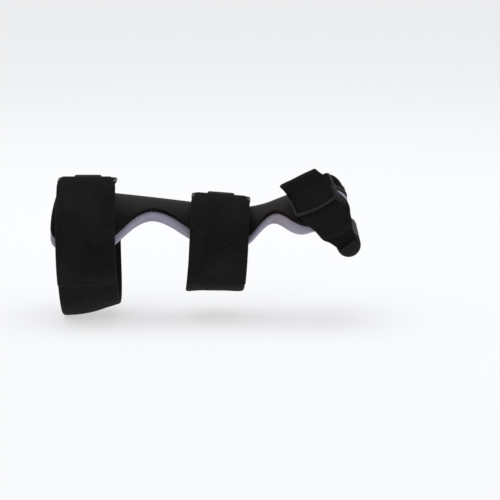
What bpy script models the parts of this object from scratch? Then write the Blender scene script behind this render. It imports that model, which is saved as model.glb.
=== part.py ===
# Wrist splint worn on the back of a left forearm and hand: a stiff shell over a foam pad,
# two wide straps turned back through wire rings, and a hand strap that ends in a palm bar.
import math
from collections import namedtuple

import bmesh
import bpy
from mathutils import Matrix, Vector

# Axes: +X runs to the fingers, +Y to the little-finger side, +Z off the back of the hand.
# The origin is the crown of the pad's inner face over the wrist. Lengths are in metres.
SHELL_LENGTH = 0.1946
SHELL_WALL = 0.003
PAD_WALL = 0.005
PAD_MARGIN = 0.0050
PAD_RIM = 0.0012
SHELL_RIM = 0.0006
FIT_GAP = 0.0003

WRIST_SHARE = 0.597
HALF_BREADTH = 0.042
SIDE_DEPTH = 0.040
UNDER_DEPTH = 0.034
CROWN_RISE = 0.0142
WING_ANGLE = math.radians(78)
WING_CORNER = 0.011
ELBOW_END_BULGE = 0.0034
FINGER_END_REACH = 0.0113

STRAP_WIDTH = 0.0415
STRAP_GATHERED = 0.0355
STRAP_THICKNESS = 0.003
LAYER_GAP = 0.0007
WIRE_DIAMETER = 0.0022
RING_SPAN = 0.023
RING_SLACK = 0.0008
RING_CORNER = 0.0022
CHAFE_WIDTH = 0.020
CHAFE_THICKNESS = 0.0015

HAND_STRAP_WIDTH = 0.0335
HAND_STRAP_GATHERED = 0.0280
HAND_STRAP_THICKNESS = 0.0030
HAND_RING_SPAN = 0.0255
HAND_RING_RISE = math.radians(26)
HAND_RING_LEAN = math.radians(54)
HAND_RING_ALONG = 0.940
HAND_RING_ANGLE = math.radians(61)
HAND_FOLD_RADIUS = 0.0062

BAR_DIAMETER = 0.0172
BAR_LENGTH = 0.1015
BAR_AHEAD = 0.0096
BAR_DROP = 0.0275
BAR_LIP = 0.0032
SLOT_SLACK = 0.0018
SLOT_RISE = math.radians(37)

# How far along each change of form is spread: shares of SHELL_LENGTH, then angles.
ELBOW_BULGE_SHARE = 0.15
FINGER_REACH_SHARE = 0.17
SWELL_SHARE = 0.74
SEAT_START = math.radians(4)
SEAT_FADE = math.radians(46)
MEET_FADE = math.radians(30)
GATHER_FADE = math.radians(20)
SKIRT_FADE = math.radians(6)

# How finely the forms are divided.
ROWS_ALONG = 44
EVEN_ROWS = 0.55
COLUMNS_AROUND = 14
ROWS_ACROSS_STRAP = 4
ANGLE_STEP = math.radians(7)
TURN_STEPS = 6
CORNER_STEPS = 4
WIRE_SIDES = 8
BAR_SIDES = 20
KNOT_STEPS = 3
PUSH_FADE = 3
SCAN_STEP = math.radians(1.5)
SCAN_REACH = math.radians(111)
SLOPE_STEP = 0.001
SHARP_ANGLE = math.radians(40)

# Form of the arm under the splint, from the elbow end to the fingers. Shares of SHELL_LENGTH,
# CROWN_RISE, HALF_BREADTH, SIDE_DEPTH and UNDER_DEPTH.
Section = namedtuple("Section", "along rise breadth depth under")
SECTIONS = (
    Section(-0.060, 0.89, 1.06, 1.00, 1.16),
    Section(0.000, 0.85, 1.05, 1.00, 1.15),
    Section(0.110, 0.72, 1.02, 0.98, 1.06),
    Section(0.220, 0.58, 0.97, 0.93, 0.87),
    Section(0.360, 0.37, 0.89, 0.85, 0.71),
    Section(0.490, 0.16, 0.79, 0.76, 0.62),
    Section(0.597, 0.00, 0.73, 0.70, 0.62),
    Section(0.680, -0.09, 0.73, 0.66, 0.63),
    Section(0.750, 0.08, 0.79, 0.60, 0.58),
    Section(0.805, 0.36, 0.86, 0.56, 0.52),
    Section(0.878, 0.73, 0.94, 0.52, 0.45),
    Section(0.935, 0.93, 0.97, 0.50, 0.42),
    Section(1.000, 1.00, 0.99, 0.50, 0.40),
    Section(1.100, 0.95, 0.99, 0.50, 0.40),
)

# Lower edge of the shell: three wings with a scallop between each pair. Shares of
# SHELL_LENGTH and WING_ANGLE.
Turn = namedtuple("Turn", "along angle")
EDGE_TURNS = (
    Turn(-0.10, 0.90),
    Turn(0.16, 0.90),
    Turn(0.355, 0.36),
    Turn(0.555, 0.78),
    Turn(0.680, 0.78),
    Turn(0.775, 0.41),
    Turn(0.900, 1.00),
    Turn(1.20, 1.00),
)

# The two wide straps. along and lean place the loop, level is 1 where the ring lies level and
# 0 where it follows the crown, clear is the share of STRAP_THICKNESS that it stands off the
# strap under it. fixed and free are the angles of the strap's ends, under and over those of
# the webbing's.
Loop = namedtuple("Loop", "name along lean level clear fixed free under over")
LOOPS = (
    Loop("forearm", 0.107, math.radians(2.0), 1.0, 0.70,
         math.radians(46), math.radians(108), math.radians(40), math.radians(37)),
    Loop("wrist", 0.592, math.radians(-4.0), 0.0, 0.26,
         math.radians(52), math.radians(126), math.radians(46), math.radians(43)),
)

# The strap in a slot of the palm bar, from its end outwards. rise is a share of the bar's
# radius up the slot, out a share of HAND_STRAP_THICKNESS outwards, width one of the strap's.
SlotKnot = namedtuple("SlotKnot", "rise out width")
SLOT_KNOTS = (
    SlotKnot(-0.10, 0.10, 0.43),
    SlotKnot(0.45, 0.10, 0.49),
    SlotKnot(1.05, 0.12, 0.60),
    SlotKnot(1.55, 0.35, 0.74),
)

# Where the hand's two straps lie over the shell, as places along it, angles from the crown,
# shares of the strap's thickness above the strap's seat, and shares of its width.
DrapeKnot = namedtuple("DrapeKnot", "along angle lift width")
PALM_DRAPE = (
    DrapeKnot(0.990, math.radians(75), 1.0, 0.88),
    DrapeKnot(0.968, math.radians(68), 1.0, 0.95),
)
ULNAR_DRAPE = (
    DrapeKnot(0.990, math.radians(75), 1.0, 0.88),
    DrapeKnot(0.968, math.radians(66), 1.0, 0.95),
    DrapeKnot(0.950, math.radians(52), 0.5, 1.0),
    DrapeKnot(0.935, math.radians(40), 0.5, 1.0),
    DrapeKnot(0.920, math.radians(28), 0.5, 1.0),
)

# The palm strap in its ring. span and turn count from the near bar, short and out from the
# far bar in shares of HAND_FOLD_RADIUS, shift and width are shares of the strap's width.
RingKnot = namedtuple("RingKnot", "span turn short out shift width")
RING_KNOTS = (
    RingKnot(0.00, -1.0, 0.0, 0.0, 0.0, 0.0),
    RingKnot(0.45, -0.1, 0.0, 0.0, 0.0, 0.0),
    RingKnot(0.75, 0.8, 0.0, 0.0, 0.0, 0.0),
    RingKnot(1.00, 0.0, 0.0, 0.85, -0.10, 0.9),
    RingKnot(1.00, 0.0, 0.75, 0.60, -0.13, 1.0),
    RingKnot(1.00, 0.0, 0.90, -0.25, -0.05, 0.95),
    RingKnot(1.00, 0.0, 0.30, -0.95, 0.08, 0.9),
    RingKnot(0.78, 0.0, 0.0, -1.0, 0.14, 0.85),
    RingKnot(0.55, 0.0, 0.0, -0.80, 0.15, 0.8),
)

Look = namedtuple("Look", "colour roughness metallic")
BLACK_SHELL = Look((0.017, 0.016, 0.016), 0.38, 0.0)
LAVENDER_FOAM = Look((0.30, 0.30, 0.44), 0.85, 0.0)
BLACK_LOOP_CLOTH = Look((0.008, 0.008, 0.009), 0.95, 0.0)
BLACK_WEBBING = Look((0.010, 0.010, 0.010), 0.85, 0.0)
DARK_WIRE = Look((0.045, 0.045, 0.045), 0.35, 0.8)
BLACK_RUBBER = Look((0.020, 0.022, 0.020), 0.5, 0.0)


def clear_scene():
    for item in list(bpy.data.objects):
        bpy.data.objects.remove(item, do_unlink=True)


def ease(share):
    share = min(1.0, max(0.0, share))
    return share * share * (3.0 - 2.0 * share)


def smooth_value(rows, along, column):
    """Value of one column at a place along the rows, as a smooth curve through them."""
    places = [row.along for row in rows]
    values = [getattr(row, column) for row in rows]
    along = min(places[-1], max(places[0], along))
    right = next(i for i in range(1, len(rows)) if along <= places[i])
    left = right - 1

    def slope(i):
        low = max(0, i - 1)
        high = min(len(rows) - 1, i + 1)
        return (values[high] - values[low]) / (places[high] - places[low])

    step = places[right] - places[left]
    u = (along - places[left]) / step
    return (
        values[left] * (1 + 2 * u) * (1 - u) ** 2
        + values[right] * u * u * (3 - 2 * u)
        + slope(left) * step * u * (1 - u) ** 2
        - slope(right) * step * u * u * (1 - u)
    )


def share_along(x):
    return x / SHELL_LENGTH + WRIST_SHARE


def place_along(share):
    return (share - WRIST_SHARE) * SHELL_LENGTH


def arm_point(x, angle, lift=0.0):
    """Point at an angle from the crown, lifted off the arm square to it."""
    along = share_along(x)
    depth = SIDE_DEPTH * smooth_value(SECTIONS, along, "depth")
    centre = CROWN_RISE * smooth_value(SECTIONS, along, "rise") - depth
    breadth = HALF_BREADTH * smooth_value(SECTIONS, along, "breadth")
    height = depth
    if math.cos(angle) < 0.0:
        height = UNDER_DEPTH * smooth_value(SECTIONS, along, "under")
    outward = Vector((0.0, height * math.sin(angle), breadth * math.cos(angle))).normalized()
    foot = Vector((x, breadth * math.sin(angle), centre + height * math.cos(angle)))
    return foot + outward * lift


def edge_angle(x):
    """Angle from the crown at which the shell ends."""
    along = share_along(x)
    right = next(i for i in range(1, len(EDGE_TURNS)) if along <= EDGE_TURNS[i].along)
    before = EDGE_TURNS[right - 1]
    after = EDGE_TURNS[right]
    part = ease((along - before.along) / (after.along - before.along))
    return WING_ANGLE * (before.angle + (after.angle - before.angle) * part)


SHELL_INNER = PAD_WALL + FIT_GAP
SHELL_OUTER = SHELL_INNER + SHELL_WALL
STRAP_SEAT = SHELL_OUTER + FIT_GAP


def end_swell(angle):
    """How far the shell's ends reach out at an angle from the crown, 0 to 1 at the wings."""
    return math.sin(0.5 * math.pi * min(1.0, abs(angle) / WING_ANGLE / SWELL_SHARE)) ** 2


def splint_point(row, column, lift, side_margin, end_margin):
    """Point of the shell or pad; row and column are (share, past), past is 1 at the rim.

    A row's share runs 0 to 1 to the fingers and a column's -1 to 1 across.
    """
    x = place_along(row[0])
    side = HALF_BREADTH + SHELL_OUTER
    run = side * (edge_angle(x + SLOPE_STEP) - edge_angle(x - SLOPE_STEP)) / (2.0 * SLOPE_STEP)
    from_end = min(row[0], 1.0 - row[0]) * SHELL_LENGTH
    bite = max(0.0, 1.0 - from_end / WING_CORNER)
    cut = WING_CORNER * (1.0 - math.sqrt(1.0 - bite * bite))
    angle = column[0] * (edge_angle(x) - cut / side)
    swell = end_swell(angle)
    angle += column[1] * side_margin * math.hypot(1.0, run) / side
    x += row[1] * end_margin
    x -= ELBOW_END_BULGE * swell * ease(1.0 - row[0] / ELBOW_BULGE_SHARE)
    x += FINGER_END_REACH * swell * ease(1.0 - (1.0 - row[0]) / FINGER_REACH_SHARE)
    return arm_point(x, angle, lift)


def link(name, mesh, look):
    material = bpy.data.materials.new(name)
    material.use_nodes = True
    shader = material.node_tree.nodes["Principled BSDF"]
    shader.inputs["Base Color"].default_value = (*look.colour, 1.0)
    shader.inputs["Roughness"].default_value = look.roughness
    shader.inputs["Metallic"].default_value = look.metallic
    mesh.materials.append(material)
    mesh.shade_smooth()
    mesh.set_sharp_from_angle(angle=SHARP_ANGLE)
    piece = bpy.data.objects.new(name, mesh)
    bpy.context.scene.collection.objects.link(piece)
    return piece


def finish_mesh(name, bm, look):
    bmesh.ops.recalc_face_normals(bm, faces=bm.faces)
    mesh = bpy.data.meshes.new(name)
    bm.to_mesh(mesh)
    bm.free()
    return link(name, mesh, look)


def sheet_body(name, inner, outer, middle, look):
    """Closed wall between two grids of points; middle rounds its rim where it is given."""
    bm = bmesh.new()
    rows = len(inner)
    columns = len(inner[0])
    rim = [(0, j) for j in range(columns)]
    rim += [(i, columns - 1) for i in range(1, rows)]
    rim += [(rows - 1, j) for j in range(columns - 2, -1, -1)]
    rim += [(i, 0) for i in range(rows - 2, 0, -1)]
    low = [[bm.verts.new(point) for point in row] for row in inner]
    high = [[bm.verts.new(point) for point in row] for row in outer]
    for i in range(rows - 1):
        for j in range(columns - 1):
            for grid in (low, high):
                bm.faces.new((grid[i][j], grid[i + 1][j], grid[i + 1][j + 1], grid[i][j + 1]))
    belts = [[low[i][j] for i, j in rim]]
    if middle:
        belts.append([bm.verts.new(middle[i][j]) for i, j in rim])
    belts.append([high[i][j] for i, j in rim])
    for lower, upper in zip(belts, belts[1:]):
        for k in range(len(rim)):
            after = (k + 1) % len(rim)
            bm.faces.new((lower[k], lower[after], upper[after], upper[k]))
    return finish_mesh(name, bm, look)


def splint_skin(name, lower, upper, margin, rim, look):
    """Shell or pad, between two lifts off the arm, reaching a margin past the shell's sides.

    Its ends are flush with the shell's.
    """
    rows = []
    for i in range(ROWS_ALONG + 1):
        even = i / ROWS_ALONG
        dense_ends = (1.0 - math.cos(math.pi * even)) / 2.0
        rows.append((EVEN_ROWS * even + (1.0 - EVEN_ROWS) * dense_ends, 0))
    columns = [(2.0 * j / COLUMNS_AROUND - 1.0, 0) for j in range(COLUMNS_AROUND + 1)]
    if margin > 0.0:
        columns = [columns[0], *columns, columns[-1]]
    rows[0] = (0.0, -1)
    rows[-1] = (1.0, 1)
    columns[0] = (-1.0, -1)
    columns[-1] = (1.0, 1)

    def grid(lift, past, end):
        return [
            [splint_point(row, column, lift, past, end) for column in columns] for row in rows
        ]

    middle = grid((lower + upper) / 2.0, margin + rim, 0.0)
    return sheet_body(
        name, grid(lower, margin, -rim), grid(upper, margin, -rim), middle, look)


def ribbon(name, lines, thickness, look):
    """Strap along matching centre lines, one for each place across its width."""
    inner = []
    outer = []
    for line in lines:
        below = []
        above = []
        for k, point in enumerate(line):
            ahead = line[min(k + 1, len(line) - 1)]
            behind = line[max(k - 1, 0)]
            across = lines[-1][k] - lines[0][k]
            outward = across.cross(ahead - behind).normalized() * (thickness / 2.0)
            below.append(point - outward)
            above.append(point + outward)
        inner.append(below)
        outer.append(above)
    return sheet_body(name, inner, outer, None, look)


def places_across(width):
    return [width * (k / ROWS_ACROSS_STRAP - 0.5) for k in range(ROWS_ACROSS_STRAP + 1)]


def strap_lift(x, angle, thickness):
    """Centre of a strap over the arm: on the shell near the crown, on the arm past its edge."""
    from_crown = min(abs(angle), 2.0 * math.pi - abs(angle))
    on_arm = ease((from_crown - edge_angle(x) - SEAT_START) / SEAT_FADE)
    return thickness / 2.0 + STRAP_SEAT * (1.0 - on_arm)


def bar_line(loop):
    """Middle of a ring's near bar and its slope along X, clear of the strap that it turns."""
    centre = place_along(loop.along)
    seat = []
    for shift in places_across(STRAP_WIDTH):
        x = centre + shift
        lift = STRAP_SEAT + STRAP_THICKNESS / 2.0
        angle = math.asin(RING_SPAN / 2.0 / (HALF_BREADTH + lift))
        seat.append((shift, arm_point(x, -angle, lift).z))
    slope = (1.0 - loop.level) * (seat[-1][1] - seat[0][1]) / STRAP_WIDTH
    height = max(z - slope * shift for shift, z in seat)
    turn = WIRE_DIAMETER / 2.0 + FIT_GAP + STRAP_THICKNESS / 2.0
    height += turn + loop.clear * STRAP_THICKNESS
    return Vector((centre, -RING_SPAN / 2.0, height)), slope


def turned_back_line(loop, share, widths, side, ends, thickness):
    """Centre line of a band that runs up to a ring's bar, round it and back over itself.

    share is its place across, from -0.5 to 0.5. widths are the band's in the ring and clear
    of it, and ends the angles of its far and near ends.
    """
    gathered, full = widths
    bar, slope = bar_line(loop)
    shift = share * gathered
    bar = bar + Vector((shift, 0.0, slope * shift))
    bar.y = side * RING_SPAN / 2.0
    turn = WIRE_DIAMETER / 2.0 + FIT_GAP + thickness / 2.0
    breadth = HALF_BREADTH * smooth_value(SECTIONS, loop.along, "breadth")
    tilt = math.asin(RING_SPAN / 2.0 / (breadth + STRAP_SEAT + thickness / 2.0))
    up = Vector((0.0, side * math.sin(tilt), math.cos(tilt)))
    inward = Vector((0.0, -side * up.z, side * up.y))

    def lying(angle, extra):
        first = arm_point(bar.x, side * angle)
        spread = share * (full - gathered) * ease((angle - tilt) / GATHER_FADE)
        x = bar.x + spread + (bar.z - first.z) * math.tan(loop.lean)
        return arm_point(x, side * angle, strap_lift(x, angle, thickness) + extra)

    at_bar = next(
        math.radians(k) for k in range(90)
        if abs(lying(math.radians(k), 0.0).y) > RING_SPAN / 2.0
    )

    def run(angles, extra, meet):
        pull = meet - lying(at_bar, extra)
        points = []
        for angle in angles:
            near_bar = 1.0 - ease((angle - at_bar) / MEET_FADE)
            points.append(lying(angle, extra) + pull * near_bar)
        return points

    def steps_to(end):
        count = math.ceil((end - tilt) / ANGLE_STEP - 0.4)
        return [at_bar + ANGLE_STEP * k for k in range(1, count)] + [end]

    line = run(reversed(steps_to(ends[0])), 0.0, bar - up * turn)
    for k in range(TURN_STEPS + 1):
        swing = math.pi * k / TURN_STEPS
        line.append(bar - up * (turn * math.cos(swing)) + inward * (turn * math.sin(swing)))
    return line + run(steps_to(ends[1]), thickness + LAYER_GAP, line[-1])


def rounded_rectangle(length, width, corner):
    """Points round a rectangle in its plane, each with its outward direction."""
    points = []
    for quarter in range(4):
        side_x = 1.0 if quarter in (0, 3) else -1.0
        side_y = 1.0 if quarter in (0, 1) else -1.0
        middle = (side_x * (length / 2.0 - corner), side_y * (width / 2.0 - corner))
        for k in range(CORNER_STEPS + 1):
            angle = math.radians(90) * (quarter + k / CORNER_STEPS)
            outward = (math.cos(angle), math.sin(angle))
            place = (middle[0] + corner * outward[0], middle[1] + corner * outward[1])
            points.append((place, outward))
    return points


def wire_ring(name, centre, long_way, short_way, length, width):
    """Rectangular ring of round wire; length and width lie between the wire's centres."""
    normal = long_way.cross(short_way)
    bm = bmesh.new()
    loops = []
    for place, outward in rounded_rectangle(length, width, RING_CORNER):
        middle = centre + long_way * place[0] + short_way * place[1]
        out = long_way * outward[0] + short_way * outward[1]
        loop = []
        for k in range(WIRE_SIDES):
            angle = 2.0 * math.pi * k / WIRE_SIDES
            offset = out * math.cos(angle) + normal * math.sin(angle)
            loop.append(bm.verts.new(middle + offset * (WIRE_DIAMETER / 2.0)))
        loops.append(loop)
    for this, after in zip(loops, loops[1:] + loops[:1]):
        for k in range(WIRE_SIDES):
            following = (k + 1) % WIRE_SIDES
            bm.faces.new((this[k], this[following], after[following], after[k]))
    return finish_mesh(name, bm, DARK_WIRE)


def loop_pieces(loop):
    """One wide strap, its ring and the webbing that holds the ring to the shell."""
    widths = (STRAP_GATHERED, STRAP_WIDTH)
    ends = (2.0 * math.pi - loop.fixed, loop.free)
    straps = [
        turned_back_line(loop, share, widths, -1.0, ends, STRAP_THICKNESS)
        for share in places_across(1.0)
    ]
    ribbon(loop.name + "_strap", straps, STRAP_THICKNESS, BLACK_LOOP_CLOTH)
    widths = (CHAFE_WIDTH, CHAFE_WIDTH)
    ends = (loop.under, loop.over)
    webbing = [
        turned_back_line(loop, share, widths, 1.0, ends, CHAFE_THICKNESS)
        for share in places_across(1.0)
    ]
    ribbon(loop.name + "_chafe", webbing, CHAFE_THICKNESS, BLACK_WEBBING)
    bar, slope = bar_line(loop)
    long_way = Vector((1.0, 0.0, slope)).normalized()
    short_way = Vector((0.0, 1.0, 0.0))
    centre = Vector((bar.x, 0.0, bar.z))
    length = STRAP_GATHERED + 2.0 * RING_SLACK + WIRE_DIAMETER
    wire_ring(loop.name + "_ring", centre, long_way, short_way, length, RING_SPAN)


def bar_centre():
    """Middle of the palm bar, under the finger end of the shell."""
    x = place_along(1.0) + BAR_AHEAD
    return Vector((x, 0.0, arm_point(place_along(1.0), 0.0).z - BAR_DROP))


def slot_ways():
    """Way up out of a slot and way along it."""
    up = Vector((-math.sin(SLOT_RISE), 0.0, math.cos(SLOT_RISE)))
    along = Vector((math.cos(SLOT_RISE), 0.0, math.sin(SLOT_RISE)))
    return up, along


def height_off_arm(point):
    """Height of a point off the arm, the way out there and its angle from the crown."""
    side = 1.0 if point.y >= 0.0 else -1.0
    angles = [SCAN_STEP * k for k in range(round(SCAN_REACH / SCAN_STEP) + 1)]
    angle = min(angles, key=lambda each: (arm_point(point.x, side * each) - point).length)
    foot = arm_point(point.x, side * angle)
    outward = arm_point(point.x, side * angle, 1.0) - foot
    return (point - foot).dot(outward), outward, angle


def hand_ring_frame():
    """Near bar's middle, and the ring's long way, short way and outward way."""
    along = Vector((math.cos(HAND_RING_RISE), 0.0, math.sin(HAND_RING_RISE)))
    upright = Vector((-math.sin(HAND_RING_RISE), 0.0, math.cos(HAND_RING_RISE)))
    level = Vector((0.0, 1.0, 0.0))
    short = upright * math.cos(HAND_RING_LEAN) + level * math.sin(HAND_RING_LEAN)
    outward = along.cross(short)
    lift = STRAP_SEAT + HAND_STRAP_THICKNESS + FIT_GAP + WIRE_DIAMETER / 2.0
    near = arm_point(place_along(HAND_RING_ALONG), -HAND_RING_ANGLE, lift)
    sunk = 0.0
    for shift in places_across(HAND_STRAP_GATHERED):
        sunk = max(sunk, lift - height_off_arm(near + along * shift)[0])
    return near + outward * sunk, along, short, outward


def off_the_shell(line, thickness, held):
    """The line moved out square to the arm where a strap would sink into shell or pad.

    Its first points, as many as held, stay in the slot.
    """
    ways = []
    pushes = []
    for point in line:
        height, outward, angle = height_off_arm(point)
        past_side = angle - edge_angle(point.x) - (PAD_MARGIN + PAD_RIM) / HALF_BREADTH
        end = place_along(1.0) + FINGER_END_REACH * end_swell(angle) + PAD_MARGIN + PAD_RIM
        beyond = max(ease(past_side / SKIRT_FADE), ease((point.x - end) / PAD_MARGIN))
        need = (STRAP_SEAT + thickness / 2.0) * (1.0 - beyond)
        ways.append(outward)
        pushes.append(max(0.0, need - height))
    moved = []
    for k, point in enumerate(line):
        near = range(max(0, k - PUSH_FADE), min(len(line), k + PUSH_FADE + 1))
        push = max(pushes[j] * ease(1.0 - abs(j - k) / (PUSH_FADE + 1)) for j in near)
        moved.append(point + ways[k] * push * ease((k - held) / PUSH_FADE))
    return moved


def spline_through(knots):
    """Points on a smooth curve through the knots, which are tuples of vectors or numbers."""
    values = []
    for k in range(len(knots) - 1):
        four = [knots[max(0, min(len(knots) - 1, k + i))] for i in (-1, 0, 1, 2)]
        for step in range(KNOT_STEPS):
            u = step / KNOT_STEPS
            weights = (
                -0.5 * u + u * u - 0.5 * u ** 3,
                1.0 - 2.5 * u * u + 1.5 * u ** 3,
                0.5 * u + 2.0 * u * u - 1.5 * u ** 3,
                -0.5 * u * u + 0.5 * u ** 3,
            )
            parts = []
            for a, b, c, d in zip(*four):
                parts.append(a * weights[0] + b * weights[1] + c * weights[2] + d * weights[3])
            values.append(parts)
    values.append(list(knots[-1]))
    return values


def hand_ribbon(name, knots):
    """Strap through knots of (place, way across, width), kept off the shell."""
    curve = spline_through(knots)
    lines = []
    for share in places_across(1.0):
        line = []
        for place, across, width in curve:
            line.append(place + across.normalized() * (width * share))
        lines.append(off_the_shell(line, HAND_STRAP_THICKNESS, 2 * KNOT_STEPS - 1))
    return ribbon(name, lines, HAND_STRAP_THICKNESS, BLACK_LOOP_CLOTH)


def slot_place(side):
    """Middle of the slot near one end of the palm bar."""
    half_slot = (HAND_STRAP_THICKNESS + SLOT_SLACK) / 2.0
    return bar_centre() + Vector((0.0, side * (BAR_LENGTH / 2.0 - BAR_LIP - half_slot), 0.0))


def slot_knots(side):
    """Knots of a strap from its end in a slot to just clear of the bar."""
    up, along = slot_ways()
    radius = BAR_DIAMETER / 2.0
    knots = []
    for knot in SLOT_KNOTS:
        out = Vector((0.0, side * knot.out * HAND_STRAP_THICKNESS, 0.0))
        place = slot_place(side) + up * (knot.rise * radius) + out
        knots.append((place, along, knot.width * HAND_STRAP_WIDTH))
    return knots


def drape_knots(drape, side):
    """Knots of a hand strap over the shell; the first still faces as the slot does."""
    slot_along = slot_ways()[1]
    shell_along = hand_ring_frame()[1]
    knots = []
    for knot in drape:
        lift = STRAP_SEAT + knot.lift * HAND_STRAP_THICKNESS
        place = arm_point(place_along(knot.along), side * knot.angle, lift)
        across = slot_along if knot is drape[0] else shell_along
        knots.append((place, across, knot.width * HAND_STRAP_WIDTH))
    return knots


def palm_strap():
    """Up from the palm bar, under the ring's near bar, over its far bar and back beneath."""
    near, along, short, outward = hand_ring_frame()
    turn = WIRE_DIAMETER / 2.0 + FIT_GAP + HAND_STRAP_THICKNESS / 2.0
    knots = slot_knots(-1.0) + drape_knots(PALM_DRAPE, -1.0)
    for knot in RING_KNOTS:
        up_ring = knot.span * HAND_RING_SPAN + knot.short * HAND_FOLD_RADIUS
        off_ring = knot.turn * turn + knot.out * HAND_FOLD_RADIUS
        place = near + short * up_ring + outward * off_ring
        place += along * (knot.shift * HAND_STRAP_WIDTH)
        width = max(HAND_STRAP_GATHERED, knot.width * HAND_STRAP_WIDTH)
        knots.append((place, along, width))
    return hand_ribbon("palm_strap", knots)


def ulnar_strap():
    """Plain strap from the bar's far end up onto the far side of the shell."""
    return hand_ribbon("ulnar_strap", slot_knots(1.0) + drape_knots(ULNAR_DRAPE, 1.0))


def hand_ring():
    near, along, short, outward = hand_ring_frame()
    centre = near + short * (HAND_RING_SPAN / 2.0)
    length = HAND_STRAP_GATHERED + 2.0 * RING_SLACK + WIRE_DIAMETER
    return wire_ring("hand_ring", centre, along, short, length, HAND_RING_SPAN)


# Round-over of the palm bar's ends: shares of BAR_DIAMETER in from the end, and of the radius.
Round = namedtuple("Round", "inset radius")
BAR_ROUNDS = (
    Round(0.00, 0.00),
    Round(0.00, 0.62),
    Round(0.03, 0.82),
    Round(0.09, 0.95),
    Round(0.18, 1.00),
)


# Boxes that cut a slot and take the lip outside it down, in the slot's frame: length, width and
# height as shares of BAR_DIAMETER, and foot, its lowest face, as a share of the radius.
SLOT_REACH = 1.4
SLOT_HEIGHT = 1.2
SLOT_FOOT = -0.28
LIP_FOOT = 0.12


def cut_box(bar, side, inner, outer, foot):
    """Takes from the bar what lies above a foot between two places along Y from its middle."""
    up, along = slot_ways()
    turn = Matrix((along, Vector((0.0, 1.0, 0.0)), up)).transposed().to_4x4()
    tall = SLOT_HEIGHT * BAR_DIAMETER
    middle = bar_centre() + up * (tall / 2.0 + foot * BAR_DIAMETER / 2.0)
    middle.y += side * (inner + outer) / 2.0
    size = Matrix.Diagonal((SLOT_REACH * BAR_DIAMETER, outer - inner, tall, 1.0))
    bm = bmesh.new()
    bmesh.ops.create_cube(bm, size=1.0)
    bm.transform(Matrix.Translation(middle) @ turn @ size)
    mesh = bpy.data.meshes.new("slot_cutter")
    bm.to_mesh(mesh)
    bm.free()
    cutter = bpy.data.objects.new("slot_cutter", mesh)
    bpy.context.scene.collection.objects.link(cutter)
    cutter.hide_render = True
    cutter.display_type = "WIRE"
    cut = bar.modifiers.new("slot", "BOOLEAN")
    cut.operation = "DIFFERENCE"
    cut.solver = "EXACT"
    cut.object = cutter


def palm_bar():
    """Round bar across the palm, with a slot near each end for its strap."""
    half = BAR_LENGTH / 2.0
    near_end = [(-half + r.inset * BAR_DIAMETER, r.radius) for r in BAR_ROUNDS]
    far_end = [(-y, radius) for y, radius in reversed(near_end)]
    centre = bar_centre()
    bm = bmesh.new()
    rings = []
    for y, radius in near_end + far_end:
        count = BAR_SIDES if radius > 0.0 else 1
        ring = []
        for k in range(count):
            angle = 2.0 * math.pi * k / BAR_SIDES
            reach = radius * BAR_DIAMETER / 2.0
            offset = Vector((reach * math.cos(angle), y, reach * math.sin(angle)))
            ring.append(bm.verts.new(centre + offset))
        rings.append(ring)
    for this, after in zip(rings, rings[1:]):
        for k in range(BAR_SIDES):
            following = (k + 1) % BAR_SIDES
            corners = [this[k % len(this)], this[following % len(this)]]
            corners += [after[following % len(after)], after[k % len(after)]]
            bm.faces.new(list(dict.fromkeys(corners)))
    bar = finish_mesh("palm_bar", bm, BLACK_RUBBER)
    lip_face = half - BAR_LIP
    slot_face = lip_face - HAND_STRAP_THICKNESS - SLOT_SLACK
    for side in (-1.0, 1.0):
        cut_box(bar, side, slot_face, lip_face, SLOT_FOOT)
        cut_box(bar, side, (slot_face + lip_face) / 2.0, half + BAR_LIP, LIP_FOOT)
    return bar


clear_scene()
splint_skin("liner_pad", 0.0, PAD_WALL, PAD_MARGIN, PAD_RIM, LAVENDER_FOAM)
splint_skin("shell", SHELL_INNER, SHELL_OUTER, 0.0, SHELL_RIM, BLACK_SHELL)
for loop in LOOPS:
    loop_pieces(loop)
palm_strap()
ulnar_strap()
hand_ring()
palm_bar()
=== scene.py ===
import functools
import math

import bpy
from mathutils import Matrix, Vector, noise


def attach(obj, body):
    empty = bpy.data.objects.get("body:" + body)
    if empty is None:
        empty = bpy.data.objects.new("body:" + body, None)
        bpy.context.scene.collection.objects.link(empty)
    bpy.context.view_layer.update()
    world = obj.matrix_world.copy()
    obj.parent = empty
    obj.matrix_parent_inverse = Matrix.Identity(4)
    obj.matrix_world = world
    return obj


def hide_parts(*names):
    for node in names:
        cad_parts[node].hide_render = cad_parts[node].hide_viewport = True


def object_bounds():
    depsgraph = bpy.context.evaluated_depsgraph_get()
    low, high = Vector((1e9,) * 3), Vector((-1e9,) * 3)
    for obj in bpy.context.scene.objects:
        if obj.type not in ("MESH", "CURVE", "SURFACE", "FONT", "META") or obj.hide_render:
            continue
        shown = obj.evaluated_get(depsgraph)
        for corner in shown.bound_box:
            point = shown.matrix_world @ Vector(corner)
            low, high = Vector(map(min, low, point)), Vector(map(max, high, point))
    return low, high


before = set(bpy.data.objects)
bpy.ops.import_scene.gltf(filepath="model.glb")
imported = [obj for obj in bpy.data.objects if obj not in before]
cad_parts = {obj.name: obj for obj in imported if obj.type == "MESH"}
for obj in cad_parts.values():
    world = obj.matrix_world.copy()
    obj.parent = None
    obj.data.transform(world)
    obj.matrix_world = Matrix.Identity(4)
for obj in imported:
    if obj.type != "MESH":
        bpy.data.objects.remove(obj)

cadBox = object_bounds()


# Forms that every piece follows

def table(columns, *rows):
    return [dict(zip(columns.split(), row)) for row in rows]


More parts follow.
